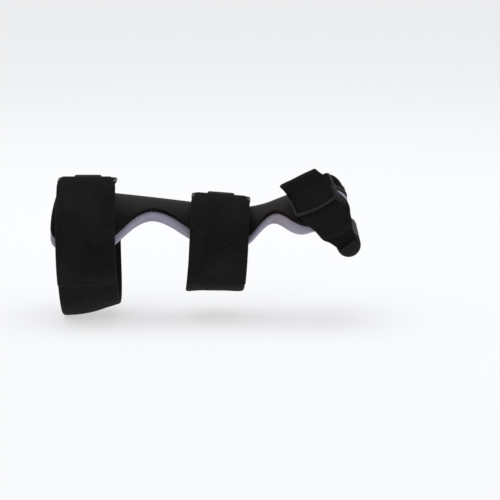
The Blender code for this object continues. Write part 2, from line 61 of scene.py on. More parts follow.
arm = {
    "shellLength": 0.1946,
    "wristShare": 0.597,
    "halfBreadth": 0.042,
    "sideDepth": 0.040,
    "underDepth": 0.034,
    "crownRise": 0.0142,
    # shares of the five sizes above, from the elbow end to the fingers
    "sections": table(
        "along rise breadth depth under",
        (-0.060, 0.89, 1.06, 1.00, 1.16),
        (0.000, 0.85, 1.05, 1.00, 1.15),
        (0.110, 0.72, 1.02, 0.98, 1.06),
        (0.220, 0.58, 0.97, 0.93, 0.87),
        (0.360, 0.37, 0.89, 0.85, 0.71),
        (0.490, 0.16, 0.79, 0.76, 0.62),
        (0.597, 0.00, 0.73, 0.70, 0.62),
        (0.680, -0.09, 0.73, 0.66, 0.63),
        (0.750, 0.08, 0.79, 0.60, 0.58),
        (0.805, 0.36, 0.86, 0.56, 0.52),
        (0.878, 0.73, 0.94, 0.52, 0.45),
        (0.935, 0.93, 0.97, 0.50, 0.42),
        (1.000, 1.00, 0.99, 0.50, 0.40),
        (1.100, 0.95, 0.99, 0.50, 0.40),
    ),
}
fitGap = 0.0003  # clearance between pieces that lie on each other


def ease(share):
    share = min(1, max(0, share))
    return share * share * (3 - 2 * share)


def rowValue(rows, along, column):
    # smooth curve through one column of a table
    places = [row["along"] for row in rows]
    values = [row[column] for row in rows]
    along = min(places[-1], max(places[0], along))
    right = next(i for i in range(1, len(rows)) if along <= places[i])
    left = right - 1

    def slope(i):
        low, high = max(0, i - 1), min(len(rows) - 1, i + 1)
        return (values[high] - values[low]) / (places[high] - places[low])

    step = places[right] - places[left]
    u = (along - places[left]) / step
    ends = values[left] * (1 + 2 * u) * (1 - u) ** 2 + values[right] * u * u * (3 - 2 * u)
    return ends + step * u * (1 - u) * (slope(left) * (1 - u) - slope(right) * u)


def placeAlong(share):
    return (share - arm["wristShare"]) * arm["shellLength"]


@functools.lru_cache(maxsize=None)
def armSection(x):
    along = x / arm["shellLength"] + arm["wristShare"]
    rows = arm["sections"]
    depth = arm["sideDepth"] * rowValue(rows, along, "depth")
    breadth = arm["halfBreadth"] * rowValue(rows, along, "breadth")
    under = arm["underDepth"] * rowValue(rows, along, "under")
    return arm["crownRise"] * rowValue(rows, along, "rise") - depth, breadth, depth, under


def armPoint(x, angle, lift=0):
    # point at an angle from the crown, lifted square off the arm's form
    centre, breadth, depth, under = armSection(x)
    height = depth if math.cos(angle) >= 0 else under
    out = Vector((0, height * math.sin(angle), breadth * math.cos(angle))).normalized()
    return Vector((x, breadth * math.sin(angle), centre + height * math.cos(angle))) + out * lift


# Modelling helpers

def applied(piece, kind, **settings):
    bpy.context.view_layer.objects.active = piece
    modifier = piece.modifiers.new(kind.title(), kind)
    for name, value in settings.items():
        setattr(modifier, name, value)
    bpy.ops.object.modifier_apply(modifier=modifier.name)


def subdivided(piece, levels=1):
    applied(piece, "SUBSURF", levels=levels, render_levels=levels)


def smoothed(piece, angle):
    bpy.ops.object.select_all(action="DESELECT")
    piece.select_set(True)
    bpy.context.view_layer.objects.active = piece
    bpy.ops.object.shade_smooth_by_angle(angle=math.radians(angle))


def endsDense(share):
    # spacing that tightens towards both ends
    return 0.55 * share + 0.225 * (1 - math.cos(math.pi * share))


def placesAcross(width, steps):
    return [width * (endsDense(k / steps) - 0.5) for k in range(steps + 1)]


def slab(name, steps, size, rim, place, lengthwise=endsDense):
    # A grid pushed up into a closed slab. place(u, v, level) puts each point; level is -1 on
    # the inner face and 1 on the outer, and falls to 0 round the rim.
    bpy.ops.object.select_all(action="DESELECT")
    bpy.ops.mesh.primitive_grid_add(x_subdivisions=steps[0], y_subdivisions=steps[1], size=1)
    piece = bpy.context.object
    piece.name = piece.data.name = name
    bpy.ops.object.mode_set(mode="EDIT")
    bpy.ops.mesh.select_all(action="SELECT")
    bpy.ops.mesh.extrude_region_move(TRANSFORM_OT_translate={"value": (0, 0, 1)})
    bpy.ops.object.mode_set(mode="OBJECT")
    for corner in piece.data.uv_layers.active.data:
        corner.uv = (lengthwise(corner.uv[0]) * size[0], endsDense(corner.uv[1]) * size[1])
    for point in piece.data.vertices:
        u, v = lengthwise(point.co.x + 0.5), endsDense(point.co.y + 0.5)
        level = 1 if point.co.z > 0.5 else -1
        for share, length in ((u, size[0]), (v, size[1])):
            inside = min(1, min(share, 1 - share) * length / rim)
            level *= math.sqrt(1 - (1 - inside) ** 2)
        point.co = place(u, v, level)
    bpy.ops.object.mode_set(mode="EDIT")
    bpy.ops.mesh.select_all(action="SELECT")
    bpy.ops.mesh.remove_doubles(threshold=0.00001)
    bpy.ops.mesh.normals_make_consistent(inside=False)
    bpy.ops.object.mode_set(mode="OBJECT")
    return piece


def band(name, lines, thickness, rim, wave=0):
    # strap or webbing along matching centre lines, one for each place across its width
    along, across = len(lines[0]) - 1, len(lines) - 1
    outward = []
    for k in range(along + 1):
        ahead, behind = min(k + 1, along), max(k - 1, 0)
        outward.append([
            (lines[-1][k] - lines[0][k]).cross(line[ahead] - line[behind]).normalized()
            for line in lines
        ])
    length = sum((lines[0][k + 1] - lines[0][k]).length for k in range(along))
    width = (lines[-1][along // 2] - lines[0][along // 2]).length

    inwards = [endsDense(j / across) for j in range(across + 1)]

    def place(u, v, level):
        k = round(u * along)
        j = min(range(across + 1), key=lambda each: abs(inwards[each] - v))
        loft = 1 + wave * noise.noise(lines[j][k] * 160) if level > 0 else 1
        return lines[j][k] + outward[k][j] * (level * loft * thickness / 2)

    piece = slab(name, (along, across), (length, width), rim, place, float)
    subdivided(piece)
    smoothed(piece, 60)
    return piece


def finishPiece(piece, material, nodes, body="root"):
    piece.data.materials.clear()
    piece.data.materials.append(material)
    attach(piece, body)
    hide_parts(*nodes)


# Finishes

class Value:
    # a socket that adds, subtracts, multiplies and raises to a power as a number does
    def __init__(self, finish, socket):
        self.finish, self.socket = finish, socket

    def __add__(self, other):
        return self.finish.maths("ADD", self, other)

    def __sub__(self, other):
        return self.finish.maths("SUBTRACT", self, other)

    def __rsub__(self, other):
        return self.finish.maths("SUBTRACT", other, self)

    def __mul__(self, other):
        return self.finish.maths("MULTIPLY", self, other)

    def __pow__(self, other):
        return self.finish.maths("POWER", self, other)

    __radd__ = __add__
    __rmul__ = __mul__


class Finish:
    # one material on a Principled shader; constants go straight on its sockets
    def __init__(self, name, constants):
        self.material = bpy.data.materials.new(name)
        self.material.use_nodes = True
        self.tree = self.material.node_tree
        self.shader = self.tree.nodes["Principled BSDF"]
        self.wire(self.shader, constants)

    def wire(self, node, sockets):
        for name, value in sockets.items():
            socket = node.inputs[name]
            if isinstance(value, Value):
                self.tree.links.new(value.socket, socket)
            else:
                socket.default_value = value

    def node(self, kind, settings=None, sockets=None, output=0):
        node = self.tree.nodes.new("ShaderNode" + kind)
        for name, value in (settings or {}).items():
            if name == "stops":
                for k, (place, colour) in enumerate(value):
                    stops = node.color_ramp.elements
                    stop = stops[k] if k < 2 else stops.new(place)
                    stop.position, stop.color = place, colour
            else:
                setattr(node, name, value)
        self.wire(node, sockets or {})
        return Value(self, node.outputs[output])

    def maths(self, operation, first, second):
        return self.node("Math", {"operation": operation}, {0: first, 1: second})

    def band(self, value, low, high):
        # 0 below low, 1 above high
        return self.node("MapRange", {}, {"Value": value, "From Min": low, "From Max": high})

    def blend(self, share, first, second):
        sockets = {0: share, 6: first, 7: second}
        return self.node("Mix", {"data_type": "RGBA"}, sockets, output=2)

    def place(self, scale=(1, 1, 1), source="Object"):
        spot = self.node("TexCoord", output={"Object": 3, "UV": 2}[source])
        return self.node("Mapping", {}, {"Vector": spot, "Scale": scale})

    def noise(self, spot, scale, detail=3, roughness=0.5):
        sockets = {"Vector": spot, "Scale": scale, "Detail": detail, "Roughness": roughness}
        return self.node("TexNoise", {}, sockets)

    def relief(self, height, depth, strength=1):
        sockets = {"Height": height, "Distance": depth, "Strength": strength}
        return self.node("Bump", {}, sockets)

    def feed(self, **sockets):
        names = {"colour": "Base Color", "roughness": "Roughness", "normal": "Normal"}
        self.wire(self.shader, {names[name]: value for name, value in sockets.items()})
        return self.material


def shellFinish(look):
    f = Finish("shellPlastic", {"IOR": 1.46, "Specular IOR Level": look["gloss"]})
    spot = f.place()
    cloud = f.noise(spot, 38, 4)
    grain = f.noise(spot, 1500, 2)
    rubbed = f.band(f.noise(spot, 170, 6, 0.65), 0.58, 0.74)
    colour = f.blend(f.band(cloud, 0.38, 0.66), look["dark"], look["brown"])
    colour = f.blend(rubbed * 0.35, colour, look["rubbed"])
    roughness = look["roughness"] + (cloud - 0.5) * 0.12 + rubbed * 0.10 + (grain - 0.5) * 0.08
    return f.feed(colour=colour, roughness=roughness, normal=f.relief(grain, 0.00006, 0.6))


def foamFinish(look):
    f = Finish("padFoam", {"Sheen Weight": 0.25, "Sheen Roughness": 0.6, "Specular IOR Level": 0.2})
    spot = f.place()
    cloud = f.noise(spot, 30, 3)
    mottle = f.noise(spot, 260, 4, 0.6)
    pores = f.node("TexVoronoi", {}, {"Vector": spot, "Scale": 900})
    pits = 1 - f.band(pores, 0.05, 0.42)
    colour = f.blend(f.band(cloud, 0.40, 0.64), look["lavender"], look["rose"])
    colour = f.blend(f.band(mottle, 0.45, 0.75) * 0.5, colour, look["pale"])
    # pits darken towards the last colour: painted shade in the foam's pores
    colour = f.blend(pits * 0.35, colour, look["poreShade"])
    height = mottle * 0.6 - pits * 0.5
    return f.feed(colour=colour, roughness=0.86 + (mottle - 0.5) * 0.15,
                  normal=f.relief(height, 0.00025, 0.7))


def loopFinish(look):
    f = Finish("strapCloth", {
        "Sheen Weight": look["sheen"], "Sheen Roughness": 0.45, "Specular IOR Level": 0.08,
    })
    spot = f.place()
    lying = f.place((1, 0.45, 1), "UV")
    nap = f.noise(spot, 42, 4, 0.6)
    tufts = f.node("TexVoronoi", {}, {"Vector": lying, "Scale": 1150, "Randomness": 1.0})
    fibres = f.noise(lying, 2600, 3, 0.7)
    crowns = 1 - f.band(tufts, 0.0, 0.55)
    colour = f.blend(f.band(nap, 0.36, 0.68), look["dark"], look["brushed"])
    # crowns and fibres lighten the cloth: random fibre tone, and painted highlight on the raised
    # tuft crowns
    colour = f.blend(f.band(crowns * 0.6 + fibres * 0.5, 0.45, 0.95), colour, look["fibreToneAndHighlight"])
    height = crowns * 0.7 + fibres * 0.5
    return f.feed(colour=colour, roughness=0.90 + (fibres - 0.5) * 0.15,
                  normal=f.relief(height, 0.00035, 0.8))


def webbingFinish(look):
    f = Finish("chafeWebbing", {"Sheen Weight": 0.15, "Specular IOR Level": 0.3})
    spot = f.place((1, 1, 1), "UV")
    ribs = f.node("TexWave", {"wave_type": "BANDS", "bands_direction": "X"},
                  {"Vector": spot, "Scale": 210, "Distortion": 0.6, "Detail": 1})
    picks = f.node("TexWave", {"wave_type": "BANDS", "bands_direction": "Y"},
                   {"Vector": spot, "Scale": 330, "Distortion": 0.4, "Detail": 1})
    weave = ribs * 0.6 + picks * 0.4
    # raised ribs and picks are painted lighter and the grooves between them darker: painted
    # highlight and painted shade in the weave
    colour = f.blend(weave, look["dark"], look["pale"])
    return f.feed(colour=colour, roughness=0.82 - weave * 0.2,
                  normal=f.relief(weave, 0.00025, 0.8))


def wireFinish(look):
    f = Finish("ringWire", {"Specular IOR Level": 0.18})
    spot = f.place()
    cloud = f.noise(spot, 220, 4, 0.6)
    chips = f.band(f.noise(spot, 900, 5, 0.7), 0.62, 0.72)
    colour = f.blend(f.band(cloud, 0.4, 0.7), look["dark"], look["pale"])
    colour = f.blend(chips * 0.5, colour, look["chip"])
    return f.feed(colour=colour, roughness=0.44 + (cloud - 0.5) * 0.2,
                  normal=f.relief(cloud, 0.00005, 0.5))


def rubberFinish(look):
    f = Finish("barRubber", {"Specular IOR Level": 0.15})
    spot = f.place()
    cloud = f.noise(spot, 90, 4)
    skin = f.noise(spot, 1800, 3, 0.6)
    colour = f.blend(f.band(cloud, 0.4, 0.65), look["dark"], look["green"])
    return f.feed(colour=colour, roughness=0.58 + (cloud - 0.5) * 0.2 + (skin - 0.5) * 0.1,
                  normal=f.relief(skin, 0.00008, 0.6))


def floorFinish(colour, glow):
    f = Finish("studioFloor", {
        "Roughness": 0.9, "Specular IOR Level": 0.05,
        "Emission Color": (1, 1, 1, 1), "Emission Strength": glow,
    })
    cloud = f.noise(f.place(), 3, 2)
    shade = f.blend(cloud * 0.06, colour, (0.42, 0.43, 0.45, 1))
    return f.feed(colour=shade)


# Shell and foam pad

shell = {
    "wall": 0.003,
    "wingAngle": 78,  # degrees from the crown
    "wingCorner": 0.011,
    "elbowBulge": 0.0034,
    "fingerReach": 0.0113,
    "reachShare": 0.74,
    "rim": 0.0012,
    "steps": (120, 56),
    # lower edge: three wings with a scallop between each pair, as shares of wingAngle
    "turns": table(
        "along angle",
        (-0.10, 0.90), (0.16, 0.90), (0.355, 0.36), (0.555, 0.78),
        (0.680, 0.78), (0.775, 0.41), (0.900, 1.00), (1.20, 1.00),
    ),
    "look": {
        "dark": (0.0064, 0.0056, 0.0054, 1), "brown": (0.0150, 0.0108, 0.0112, 1),
        "rubbed": (0.0230, 0.0175, 0.0178, 1), "roughness": 0.46, "gloss": 0.045,
    },
}
pad = {
    "wall": 0.005,
    "margin": 0.0050,  # reach past the shell's sides
    "shift": 0.0012,  # by which its scallops lie nearer the elbow than the shell's
    "slantShare": 0.3,
    "edge": 0.0012,
    "rim": 0.0024,
    "steps": (124, 62),
    "puffCap": 0.0006,
    "pressure": 4,
    "freeBand": 0.005,
    "look": {
        "lavender": (0.325, 0.315, 0.415, 1), "rose": (0.345, 0.300, 0.355, 1),
        # the last colour is painted shade for the foam's pores
        "pale": (0.430, 0.415, 0.510, 1), "poreShade": (0.180, 0.168, 0.220, 1),
    },
}
shellInner = pad["wall"] + fitGap
shellOuter = shellInner + shell["wall"]
strapSeat = shellOuter + fitGap


@functools.lru_cache(maxsize=None)
def edgeAngle(x):
    # angle from the crown at which the shell ends
    along = x / arm["shellLength"] + arm["wristShare"]
    turns = shell["turns"]
    right = next(i for i in range(1, len(turns)) if along <= turns[i]["along"])
    before, after = turns[right - 1], turns[right]
    part = ease((along - before["along"]) / (after["along"] - before["along"]))
    share = before["angle"] + (after["angle"] - before["angle"]) * part
    return math.radians(shell["wingAngle"]) * share


def endSwell(angle):
    reach = abs(angle) / math.radians(shell["wingAngle"]) / shell["reachShare"]
    return math.sin(0.5 * math.pi * min(1, reach)) ** 2


def splintPoint(u, v, lift, margin):
    # u runs to the fingers and v across, past the shell's sides by the margin
    x, step = placeAlong(u), 0.001
    side = arm["halfBreadth"] + shellOuter
    past = margin / (2 * side * edgeAngle(x))
    spread = v * (1 + 2 * past) - past
    column = min(1, max(0, spread))
    columnPast = (spread - column) / past if past else 0
    run = side * (edgeAngle(x + step) - edgeAngle(x - step)) / (2 * step)
    fromEnd = min(u, 1 - u) * arm["shellLength"]
    bite = max(0, 1 - fromEnd / shell["wingCorner"])
    cut = shell["wingCorner"] * (1 - math.sqrt(1 - bite * bite))
    angle = (2 * column - 1) * (edgeAngle(x) - cut / side)
    swell = endSwell(angle)
    slant = 1 + pad["slantShare"] * (math.hypot(1, run) - 1)
    angle += columnPast * (margin * slant / side + edgeAngle(x + pad["shift"]) - edgeAngle(x))
    x -= shell["elbowBulge"] * swell * ease(1 - u / 0.15)
    x += shell["fingerReach"] * swell * ease(1 - (1 - u) / 0.17)
    return armPoint(x, angle, lift)


def splintSize():
    side = arm["halfBreadth"] + shellOuter
    return arm["shellLength"], 2 * side * math.radians(shell["wingAngle"]) * 0.8


def puffed(piece, pressure, cap, loose):
    # short cloth run with air in it; no point moves further than the cap
    start = [point.co.copy() for point in piece.data.vertices]
    held = piece.vertex_groups.new(name="held")
    for point in piece.data.vertices:
        held.add([point.index], 1 - loose(point.co), "REPLACE")
    cloth = piece.modifiers.new("Cloth", "CLOTH")
    cloth.settings.use_pressure = True
    cloth.settings.uniform_pressure_force = pressure
    cloth.settings.vertex_group_mass = "held"
    cloth.settings.effector_weights.gravity = 0
    for number in range(1, 21):
        bpy.context.scene.frame_set(number)
    graph = bpy.context.evaluated_depsgraph_get()
    swollen = [point.co.copy() for point in piece.evaluated_get(graph).data.vertices]
    piece.modifiers.remove(cloth)
    piece.vertex_groups.remove(held)
    bpy.context.scene.frame_set(1)
    for point, old, new in zip(piece.data.vertices, start, swollen):
        move = new - old
        point.co = old + move * min(1, cap / max(move.length, cap))


def pastShell(point):
    # 0 well under the shell, 1 at and past its edge
    centre, breadth, depth, under = armSection(round(point.x, 5))
    angle = math.atan2(abs(point.y) / breadth, (point.z - centre) / depth)
    across = (angle - edgeAngle(round(point.x, 5))) * (arm["halfBreadth"] + shellOuter)
    swell = endSwell(angle)
    fingers = point.x - placeAlong(1) - shell["fingerReach"] * swell
    elbow = placeAlong(0) - shell["elbowBulge"] * swell - point.x
    return ease(1 + max(across, fingers, elbow) / pad["freeBand"])


def makeShell():
    middle = (shellInner + shellOuter) / 2
    half = shell["wall"] / 2
    piece = slab("shell_form", shell["steps"], splintSize(), shell["rim"],
                 lambda u, v, level: splintPoint(u, v, middle + half * level, 0))
    subdivided(piece)
    smoothed(piece, 60)
    finishPiece(piece, shellFinish(shell["look"]), ["shell"])
    print("shell made")


def makePad():
    middle = half = pad["wall"] / 2
    reach = pad["margin"] + pad["edge"]
    piece = slab("liner_foam", pad["steps"], splintSize(), pad["rim"],
                 lambda u, v, level: splintPoint(u, v, middle + half * level, reach))
    puffed(piece, pad["pressure"], pad["puffCap"], pastShell)
    subdivided(piece)
    smoothed(piece, 70)
    finishPiece(piece, foamFinish(pad["look"]), ["liner_pad"])
    print("foam pad made")


# Wide straps, their rings and the webbing that holds the rings

wideStrap = {
    "width": 0.0421,  # rounding its edges takes back what this is over the solid's
    "gathered": 0.0371,  # width inside the ring
    "gatherFade": 10,
    "thickness": 0.003,
    "layerGap": 0.0007,
    "rim": 0.0014,
    "stepAngle": 2.0,
    "stepsAcross": 18,
    "turnSteps": 14,
    "seatFade": (4, 46),  # degrees past the shell's edge over which the strap comes down
    "meetFade": 30,
    # lean and angles in degrees; level 1 where the ring lies level, 0 where it follows the
    # crown; clear is how far it stands off the strap under it, as a share of the thickness
    "loops": table(
        "name along lean level clear fixed free under over",
        ("forearm", 0.107, 2.0, 1, 0.70, 46, 108, 40, 37),
        ("wrist", 0.592, -4.0, 0, 0.26, 52, 126, 46, 43),
    ),
    "look": {
        "dark": (0.0066, 0.0064, 0.0059, 1), "brushed": (0.0112, 0.0109, 0.0100, 1),
        # the last colour is partly random fibre tone, partly painted highlight on the tuft crowns
        "fibreToneAndHighlight": (0.0210, 0.0205, 0.0190, 1), "sheen": 0.02,
    },
}
ring = {
    "wire": 0.0022,
    "span": 0.023,
    "slack": 0.00015,
    "corner": 0.0022,
    "look": {
        "dark": (0.010, 0.0096, 0.0094, 1), "pale": (0.020, 0.0185, 0.0182, 1),
        "chip": (0.045, 0.042, 0.041, 1),
    },
}
chafe = {
    "width": 0.020,
    "thickness": 0.0015,
    "rim": 0.0007,
    "stepsAcross": 10,
    # the weave blends these two: pale as painted highlight on raised ribs, dark as painted shade in
    # the grooves
    "look": {"dark": (0.006, 0.006, 0.006, 1), "pale": (0.022, 0.021, 0.020, 1)},
}


def strapLift(x, angle, thickness):
    fromCrown = min(abs(angle), 2 * math.pi - abs(angle))
    start, reach = (math.radians(each) for each in wideStrap["seatFade"])
    onArm = ease((fromCrown - edgeAngle(x) - start) / reach)
    return thickness / 2 + strapSeat * (1 - onArm)


def barLine(loop):
    # middle of a ring's near bar, and its slope along X
    centre = placeAlong(loop["along"])
    lift = strapSeat + wideStrap["thickness"] / 2
    angle = math.asin(ring["span"] / 2 / (arm["halfBreadth"] + lift))
    seat = [
        (shift, armPoint(centre + shift, -angle, lift).z)
        for shift in placesAcross(wideStrap["width"], 4)
    ]
    slope = (1 - loop["level"]) * (seat[-1][1] - seat[0][1]) / wideStrap["width"]
    height = max(z - slope * shift for shift, z in seat)
    height += ring["wire"] / 2 + fitGap + (0.5 + loop["clear"]) * wideStrap["thickness"]
    return Vector((centre, -ring["span"] / 2, height)), slope


def turnedBackLine(loop, share, widths, side, farEnd, nearEnd, thickness):
    # Centre line of a band that runs up to a ring's bar, round it and back over itself.
    # share is its place across, -0.5 to 0.5, and widths the band's in the ring and clear of it.
    gathered, full = widths
    bar, slope = barLine(loop)
    shift = share * gathered
    bar = bar + Vector((shift, 0, slope * shift))
    bar.y = side * ring["span"] / 2
    turn = ring["wire"] / 2 + fitGap + thickness / 2
    breadth = arm["halfBreadth"] * rowValue(arm["sections"], loop["along"], "breadth")
    tilt = math.asin(ring["span"] / 2 / (breadth + strapSeat + thickness / 2))
    up = Vector((0, side * math.sin(tilt), math.cos(tilt)))
    inward = Vector((0, -side * up.z, side * up.y))
    # it runs straight down at first, then leans
    lean = math.tan(math.radians(loop["lean"])) / (bar.z - armPoint(bar.x, math.pi).z)

    def lying(angle, extra):
        first = armPoint(bar.x, side * angle)
        spread = ease((angle - tilt) / math.radians(wideStrap["gatherFade"]))
        x = bar.x + share * (full - gathered) * spread + lean * (bar.z - first.z) ** 2
        return armPoint(x, side * angle, strapLift(x, angle, thickness) + extra)

    atBar = next(
        math.radians(k) for k in range(90)
        if abs(lying(math.radians(k), 0).y) > ring["span"] / 2
    )

    def run(end, extra, meet):
        pull = meet - lying(atBar, extra)
        count = round(math.degrees(end - tilt) / wideStrap["stepAngle"])
        points = []
        for k in range(1, count + 1):
            angle = atBar + (end - atBar) * k / count
            nearBar = 1 - ease((angle - atBar) / math.radians(wideStrap["meetFade"]))
            points.append(lying(angle, extra) + pull * nearBar)
        return points

    line = run(farEnd, 0, bar - up * turn)[::-1]
    for k in range(wideStrap["turnSteps"] + 1):
        swing = math.pi * k / wideStrap["turnSteps"]
        line.append(bar - up * (turn * math.cos(swing)) + inward * (turn * math.sin(swing)))
    return line + run(nearEnd, thickness + wideStrap["layerGap"], line[-1])


def wireRing(name, node, centre, longWay, shortWay, length, width, material, bow=0):
    # a plane with rounded corners, made a curve with the wire's thickness
    bpy.ops.object.select_all(action="DESELECT")
    bpy.ops.mesh.primitive_plane_add(size=1)
    piece = bpy.context.object
    piece.name = piece.data.name = name
    for point in piece.data.vertices:
        point.co = (point.co.x * length, point.co.y * width, 0)
    bpy.ops.object.mode_set(mode="EDIT")
    bpy.ops.mesh.select_all(action="SELECT")
    bpy.ops.mesh.bevel(offset=ring["corner"], segments=8, affect="VERTICES")
    bpy.ops.mesh.delete(type="ONLY_FACE")
    bpy.ops.mesh.subdivide(number_cuts=2)
    bpy.ops.mesh.select_all(action="DESELECT")
    bpy.ops.object.mode_set(mode="OBJECT")
    for edge in piece.data.edges:
        ends = [piece.data.vertices[k].co for k in edge.vertices]
        edge.select = (ends[0] - ends[1]).length > ring["corner"]
    bpy.ops.object.mode_set(mode="EDIT")
    bpy.ops.mesh.subdivide(number_cuts=7)
    bpy.ops.object.mode_set(mode="OBJECT")
    for point in piece.data.vertices:
        fromMiddle = min(1, abs(point.co.x) / (length / 2 - ring["corner"]))
        if point.co.y < 0:
            point.co.y -= bow * (1 - fromMiddle ** 2)
    bpy.ops.object.convert(target="CURVE")
    piece = bpy.context.object
    piece.data.bevel_depth = ring["wire"] / 2
    piece.data.bevel_resolution = 5
    bpy.ops.object.convert(target="MESH")
    piece = bpy.context.object
    turn = Matrix((longWay, shortWay, longWay.cross(shortWay))).transposed().to_4x4()
    piece.data.transform(Matrix.Translation(centre) @ turn)
    bpy.ops.object.mode_set(mode="EDIT")
    bpy.ops.mesh.select_all(action="SELECT")
    bpy.ops.mesh.remove_doubles(threshold=0.00001)
    bpy.ops.mesh.normals_make_consistent(inside=False)
    bpy.ops.object.mode_set(mode="OBJECT")
    smoothed(piece, 60)
    finishPiece(piece, material, [node])
    return piece


def makeLoop(loop, cloth, webbing, wire):
    fixed, free, under, over = (
        math.radians(loop[end]) for end in ("fixed", "free", "under", "over")
    )
    widths = (wideStrap["gathered"], wideStrap["width"])
    lines = [
        turnedBackLine(loop, share, widths, -1, 2 * math.pi - fixed, free, wideStrap["thickness"])
        for share in placesAcross(1, wideStrap["stepsAcross"])
    ]
    strap = band(loop["name"] + "_cloth", lines, wideStrap["thickness"], wideStrap["rim"], 0.12)
    finishPiece(strap, cloth, [loop["name"] + "_strap"])
    widths = (chafe["width"], chafe["width"])
    lines = [
        turnedBackLine(loop, share, widths, 1, under, over, chafe["thickness"])
        for share in placesAcross(1, chafe["stepsAcross"])
    ]
    holder = band(loop["name"] + "_webbing", lines, chafe["thickness"], chafe["rim"])
    finishPiece(holder, webbing, [loop["name"] + "_chafe"])
    bar, slope = barLine(loop)
    length = wideStrap["gathered"] + 2 * ring["slack"] + ring["wire"]
    wireRing(loop["name"] + "_wire", loop["name"] + "_ring", Vector((bar.x, 0, bar.z)),
             Vector((1, 0, slope)).normalized(), Vector((0, 1, 0)), length, ring["span"], wire)
    print(loop["name"], "strap, ring and webbing made")


# Hand strap, hand ring and palm bar

bar = {
    "diameter": 0.0172,
    "length": 0.1015,
    "ahead": 0.0096,
    "drop": 0.0275,
    "lip": 0.0032,
    "slotSlack": 0.0018,
    "slotRise": 37,
    "slotFoot": -0.28,  # lowest face of the slot and of the cut over the lip, in radii
    "lipFoot": 0.12,
    "cutter": (1.4, 1.2),  # length and height in diameters
    "round": 0.0035,
    "look": {"dark": (0.0060, 0.0062, 0.0060, 1), "green": (0.0140, 0.0160, 0.0140, 1)},
}
handStrap = {
    "width": 0.0341,
    "gathered": 0.0293,  # width inside the ring
    "thickness": 0.0030,
    "rim": 0.0014,
    "stepsPerKnot": 9,
    "stepsAcross": 14,
    "fold": 0.0062,
    "ringSpan": 0.0255,
    "ringBow": 0.0025,  # by which the strap's pull bends the near bar
    "ringRise": 26,
    "ringLean": 54,
    "ringAlong": 0.940,
    "ringAngle": 61,
    # in a slot: radii up it, shares of the thickness outwards and of the width
    "slotKnots": table(
        "rise out width",
        (-0.10, 0.10, 0.43), (0.45, 0.10, 0.49), (1.05, 0.12, 0.60), (1.55, 0.35, 0.74),
    ),
    # over the shell: places along it, degrees from the crown, shares of thickness and width
    "palmDrape": table("along angle lift width", (0.990, 75, 1, 0.88), (0.968, 68, 1, 0.95)),
    "ulnarDrape": table(
        "along angle lift width",
        (0.990, 75, 1, 0.88), (0.968, 66, 1, 0.95), (0.950, 52, 0.5, 1), (0.935, 40, 0.5, 1),
        (0.920, 28, 0.5, 1),
    ),
    # in the ring: span and turn from its near bar, short and out in fold radii from the far bar
    "ringKnots": table(
        "span turn short out shift width",
        (0.00, -1.0, 0.0, 0.0, 0.0, 0.0),
        (0.45, -0.1, 0.0, 0.0, 0.0, 0.0),
        (0.75, 0.8, 0.0, 0.0, 0.0, 0.0),
        (1.00, 0.0, 0.0, 0.85, -0.10, 0.86),
        (1.00, 0.0, 0.75, 0.60, -0.13, 0.86),
        (1.00, 0.0, 0.90, -0.25, -0.10, 0.86),
        (1.00, 0.0, 0.30, -0.95, -0.06, 0.86),
        (0.78, 0.0, 0.0, -1.0, -0.02, 0.85),
        (0.55, 0.0, 0.0, -0.80, 0.00, 0.8),
    ),
}


def barCentre():
    crown = armPoint(placeAlong(1), 0).z
    return Vector((placeAlong(1) + bar["ahead"], 0, crown - bar["drop"]))


def slotWays():
    rise = math.radians(bar["slotRise"])
    return Vector((-math.sin(rise), 0, math.cos(rise))), Vector((math.cos(rise), 0, math.sin(rise)))


def slotPlace(side):
    halfSlot = (handStrap["thickness"] + bar["slotSlack"]) / 2
    return barCentre() + Vector((0, side * (bar["length"] / 2 - bar["lip"] - halfSlot), 0))


def heightOffArm(point):
    side = 1 if point.y >= 0 else -1
    x = round(point.x, 5)
    angles = [math.radians(1.5 * k) for k in range(75)]
    angle = min(angles, key=lambda each: (armPoint(x, side * each) - point).length)
    foot = armPoint(x, side * angle)
    outward = armPoint(x, side * angle, 1) - foot
    return (point - foot).dot(outward), outward, angle


def handRingFrame():
    rise, lean = math.radians(handStrap["ringRise"]), math.radians(handStrap["ringLean"])
    along = Vector((math.cos(rise), 0, math.sin(rise)))
    upright = Vector((-math.sin(rise), 0, math.cos(rise)))
    short = upright * math.cos(lean) + Vector((0, 1, 0)) * math.sin(lean)
    outward = along.cross(short)
    lift = strapSeat + handStrap["thickness"] + fitGap + ring["wire"] / 2
    near = armPoint(placeAlong(handStrap["ringAlong"]), -math.radians(handStrap["ringAngle"]), lift)
    sunk = max(
        max(0, lift - heightOffArm(near + along * shift)[0])
        for shift in placesAcross(handStrap["gathered"], 4)
    )
    return near + outward * sunk, along, short, outward


def offTheShell(line, thickness, held, fade):
    ways, pushes = [], []
    reach = pad["margin"] + pad["edge"]
    for point in line:
        height, outward, angle = heightOffArm(point)
        pastSide = angle - edgeAngle(round(point.x, 5)) - reach / arm["halfBreadth"]
        end = placeAlong(1) + shell["fingerReach"] * endSwell(angle) + reach
        beyond = max(ease(pastSide / math.radians(6)), ease((point.x - end) / pad["margin"]))
        ways.append(outward)
        pushes.append(max(0, (strapSeat + thickness / 2) * (1 - beyond) - height))
    moved = []
    for k, point in enumerate(line):
        near = range(max(0, k - fade), min(len(line), k + fade + 1))
        push = max(pushes[j] * ease(1 - abs(j - k) / (fade + 1)) for j in near)
        moved.append(point + ways[k] * push * ease((k - held) / fade))
    return moved


